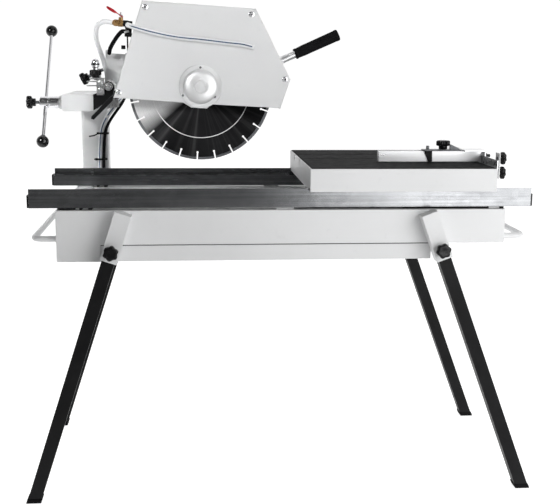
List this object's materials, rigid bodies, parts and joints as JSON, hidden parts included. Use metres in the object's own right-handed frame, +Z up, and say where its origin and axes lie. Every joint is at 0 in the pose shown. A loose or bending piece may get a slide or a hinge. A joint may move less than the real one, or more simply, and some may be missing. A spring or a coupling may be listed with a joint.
{
  "type": "masonry saw",
  "caption": "Wet-cutting masonry table saw: guarded blade on a plunging, tilting head above a rolling table on two rails over a water tank with splayed legs.",
  "frame": {"origin": "centre of the saw's bounding footprint, on the floor under its feet", "axes": "+X along the rails from the column end towards the fence end, +Y away from the operator towards the motor, +Z up"},
  "size_m": [1.2305, 0.5996, 1.1663],
  "materials": {
    "frame_paint": "light grey powder coat, satin",
    "galvanised_steel": "galvanised, slightly mottled, satin",
    "bright_steel": "zinc plated, turned",
    "blade_steel": "ground steel, radial grain",
    "dark_steel": "dark grey coat, satin",
    "motor_paint": "dark grey enamel, semi-gloss",
    "black_paint": "black powder coat, satin",
    "black_rubber": "moulded rubber, matt",
    "black_plastic": "moulded plastic, fine grain",
    "clear_hose": "clear flexible hose, glossy",
    "brass": "cast and machined brass",
    "red_paint": "red vinyl dipped, glossy",
    "fence_aluminium": "anodised extrusion, satin"
  },
  "bodies": {
    "frame": {"tank_frame": "frame_paint", "water_tank": "frame_paint", "front_rail": "galvanised_steel", "rear_rail": "galvanised_steel", "carry_handle_left": "frame_paint", "carry_handle_right": "frame_paint", "leg_socket_front_left": "frame_paint", "leg_socket_front_right": "frame_paint", "leg_socket_rear_left": "frame_paint", "leg_socket_rear_right": "frame_paint", "column": "frame_paint", "arm_beam": "frame_paint", "water_pump": "black_plastic", "junction_box": "black_plastic", "column_hose": "clear_hose", "column_cable": "black_rubber"},
    "table": {"table_frame": "frame_paint", "table_deck": "dark_steel", "table_mat": "black_rubber", "side_rail": "dark_steel"},
    "fence": {"fence": "fence_aluminium"},
    "stop": {"stop_block": "dark_steel"},
    "tilt": {"tilt_bracket": "black_paint", "tilt_shaft": "bright_steel", "pivot_pin": "bright_steel", "stop_clevis": "bright_steel"},
    "clamp": {"clamp_hub": "bright_steel"},
    "t_bar": {"t_bar": "bright_steel"},
    "head": {"head_arm": "frame_paint", "guard_back": "frame_paint", "guard_cover": "frame_paint", "hub_cover": "frame_paint", "motor": "motor_paint", "handle_tube": "bright_steel", "handle_grip": "black_rubber", "water_valve": "brass", "spray_hose": "clear_hose", "feed_hose": "clear_hose"},
    "spindle": {"arbor": "bright_steel", "blade": "blade_steel", "blade_flange": "bright_steel"},
    "valve_lever": {"valve_lever": "red_paint"},
    "side_rail_knob": {"side_rail_knob": "black_plastic"},
    "fence_knob": {"fence_knob": "black_plastic"},
    "stop_knob": {"stop_knob": "black_plastic"},
    "clamp_knob": {"clamp_knob": "black_plastic"},
    "depth_screw": {"depth_screw": "black_plastic"},
    "lock_knob": {"lock_knob": "black_plastic"},
    "leg_front_left": {"leg_front_left": "black_paint"},
    "leg_knob_front_left": {"leg_knob_front_left": "black_plastic"},
    "leg_rear_left": {"leg_rear_left": "black_paint"},
    "leg_knob_rear_left": {"leg_knob_rear_left": "black_plastic"},
    "leg_front_right": {"leg_front_right": "black_paint"},
    "leg_knob_front_right": {"leg_knob_front_right": "black_plastic"},
    "leg_rear_right": {"leg_rear_right": "black_paint"},
    "leg_knob_rear_right": {"leg_knob_rear_right": "black_plastic"},
    "roller_front_left": {"roller_front_left": "black_plastic"},
    "roller_rear_left": {"roller_rear_left": "black_plastic"},
    "roller_front_right": {"roller_front_right": "black_plastic"},
    "roller_rear_right": {"roller_rear_right": "black_plastic"}
  },
  "joints": [
    {"name": "leg_front_left_slide", "type": "slide", "parent": "frame", "child": "leg_front_left", "axis": [-0.309, 0, -0.9511], "range_m": [0, 0.1]},
    {"name": "leg_knob_front_left_turn", "type": "hinge", "parent": "frame", "child": "leg_knob_front_left", "pos_m": [-0.38877, -0.2782, 0.60308], "axis": [0, -1, 0], "range_deg": [0, 360]},
    {"name": "leg_rear_left_slide", "type": "slide", "parent": "frame", "child": "leg_rear_left", "axis": [-0.309, 0, -0.9511], "range_m": [0, 0.1]},
    {"name": "leg_knob_rear_left_turn", "type": "hinge", "parent": "frame", "child": "leg_knob_rear_left", "pos_m": [-0.38877, 0.2538, 0.60308], "axis": [0, 1, 0], "range_deg": [0, 360]},
    {"name": "leg_front_right_slide", "type": "slide", "parent": "frame", "child": "leg_front_right", "axis": [0.3551, 0, -0.9348], "range_m": [0, 0.1]},
    {"name": "leg_knob_front_right_turn", "type": "hinge", "parent": "frame", "child": "leg_knob_front_right", "pos_m": [0.37042, -0.2782, 0.60237], "axis": [0, -1, 0], "range_deg": [0, 360]},
    {"name": "leg_rear_right_slide", "type": "slide", "parent": "frame", "child": "leg_rear_right", "axis": [0.3551, 0, -0.9348], "range_m": [0, 0.1]},
    {"name": "leg_knob_rear_right_turn", "type": "hinge", "parent": "frame", "child": "leg_knob_rear_right", "pos_m": [0.37042, 0.2538, 0.60237], "axis": [0, 1, 0], "range_deg": [0, 360]},
    {"name": "table_slide", "type": "slide", "parent": "frame", "child": "table", "axis": [1, 0, 0], "range_m": [-0.53, 0.07]},
    {"name": "roller_front_left_spin", "type": "hinge", "parent": "table", "child": "roller_front_left", "pos_m": [0.0938, -0.2112, 0.7448], "axis": [0, 1, 0], "range_deg": [-1525, 205]},
    {"name": "roller_rear_left_spin", "type": "hinge", "parent": "table", "child": "roller_rear_left", "pos_m": [0.0938, 0.1868, 0.7448], "axis": [0, 1, 0], "range_deg": [-1525, 205]},
    {"name": "roller_front_right_spin", "type": "hinge", "parent": "table", "child": "roller_front_right", "pos_m": [0.4738, -0.2112, 0.7448], "axis": [0, 1, 0], "range_deg": [-1525, 205]},
    {"name": "roller_rear_right_spin", "type": "hinge", "parent": "table", "child": "roller_rear_right", "pos_m": [0.4738, 0.1868, 0.7448], "axis": [0, 1, 0], "range_deg": [-1525, 205]},
    {"name": "side_rail_knob_turn", "type": "hinge", "parent": "table", "child": "side_rail_knob", "pos_m": [0.5198, -0.2192, 0.775], "axis": [1, 0, 0], "range_deg": [0, 360]},
    {"name": "fence_slide", "type": "slide", "parent": "table", "child": "fence", "axis": [0, 1, 0], "range_m": [-0.08, 0.1]},
    {"name": "fence_knob_turn", "type": "hinge", "parent": "table", "child": "fence_knob", "pos_m": [0.5198, -0.2192, 0.809], "axis": [1, 0, 0], "range_deg": [0, 360]},
    {"name": "stop_slide", "type": "slide", "parent": "fence", "child": "stop", "axis": [1, 0, 0], "range_m": [-0.1, 0]},
    {"name": "stop_knob_turn", "type": "hinge", "parent": "stop", "child": "stop_knob", "pos_m": [0.4108, -0.0942, 0.83], "axis": [0, 0, 1], "range_deg": [0, 360]},
    {"name": "head_tilt", "type": "hinge", "parent": "frame", "child": "tilt", "pos_m": [-0.4392, 0.0478, 0.922], "axis": [1, 0, 0], "range_deg": [0, 45]},
    {"name": "head_plunge", "type": "hinge", "parent": "tilt", "child": "head", "pos_m": [-0.4092, 0.0478, 0.963], "axis": [0, -1, 0], "range_deg": [0, 30]},
    {"name": "blade_spin", "type": "hinge", "parent": "head", "child": "spindle", "pos_m": [-0.183, -0.0122, 0.96017], "axis": [0, 1, 0], "continuous": true},
    {"name": "clamp_turn", "type": "hinge", "parent": "frame", "child": "clamp", "pos_m": [-0.5582, 0.0478, 0.922], "axis": [1, 0, 0], "range_deg": [-30, 60]},
    {"name": "t_bar_slide", "type": "slide", "parent": "clamp", "child": "t_bar", "axis": [0, 0.6428, 0.766], "range_m": [-0.19, 0.085]},
    {"name": "clamp_knob_turn", "type": "hinge", "parent": "clamp", "child": "clamp_knob", "pos_m": [-0.6012, 0.0478, 0.922], "axis": [-1, 0, 0], "range_deg": [0, 360]},
    {"name": "depth_screw_turn", "type": "hinge", "parent": "tilt", "child": "depth_screw", "pos_m": [-0.4606, 0.0458, 0.9865], "axis": [-0.9018, 0, -0.4321], "range_deg": [-360, 360]},
    {"name": "lock_knob_turn", "type": "hinge", "parent": "tilt", "child": "lock_knob", "pos_m": [-0.4407, 0.0158, 0.99], "axis": [0, 0, 1], "range_deg": [0, 360]},
    {"name": "valve_lever_turn", "type": "hinge", "parent": "head", "child": "valve_lever", "pos_m": [-0.37269, -0.0262, 1.1297], "axis": [0.0567, 0, 0.9984], "range_deg": [0, 90]}
  ],
  "couplings": [
    {"joint": "roller_front_left_spin", "follows": "table_slide", "rad_per_m": 50},
    {"joint": "roller_rear_left_spin", "follows": "table_slide", "rad_per_m": 50},
    {"joint": "roller_front_right_spin", "follows": "table_slide", "rad_per_m": 50},
    {"joint": "roller_rear_right_spin", "follows": "table_slide", "rad_per_m": 50}
  ]
}
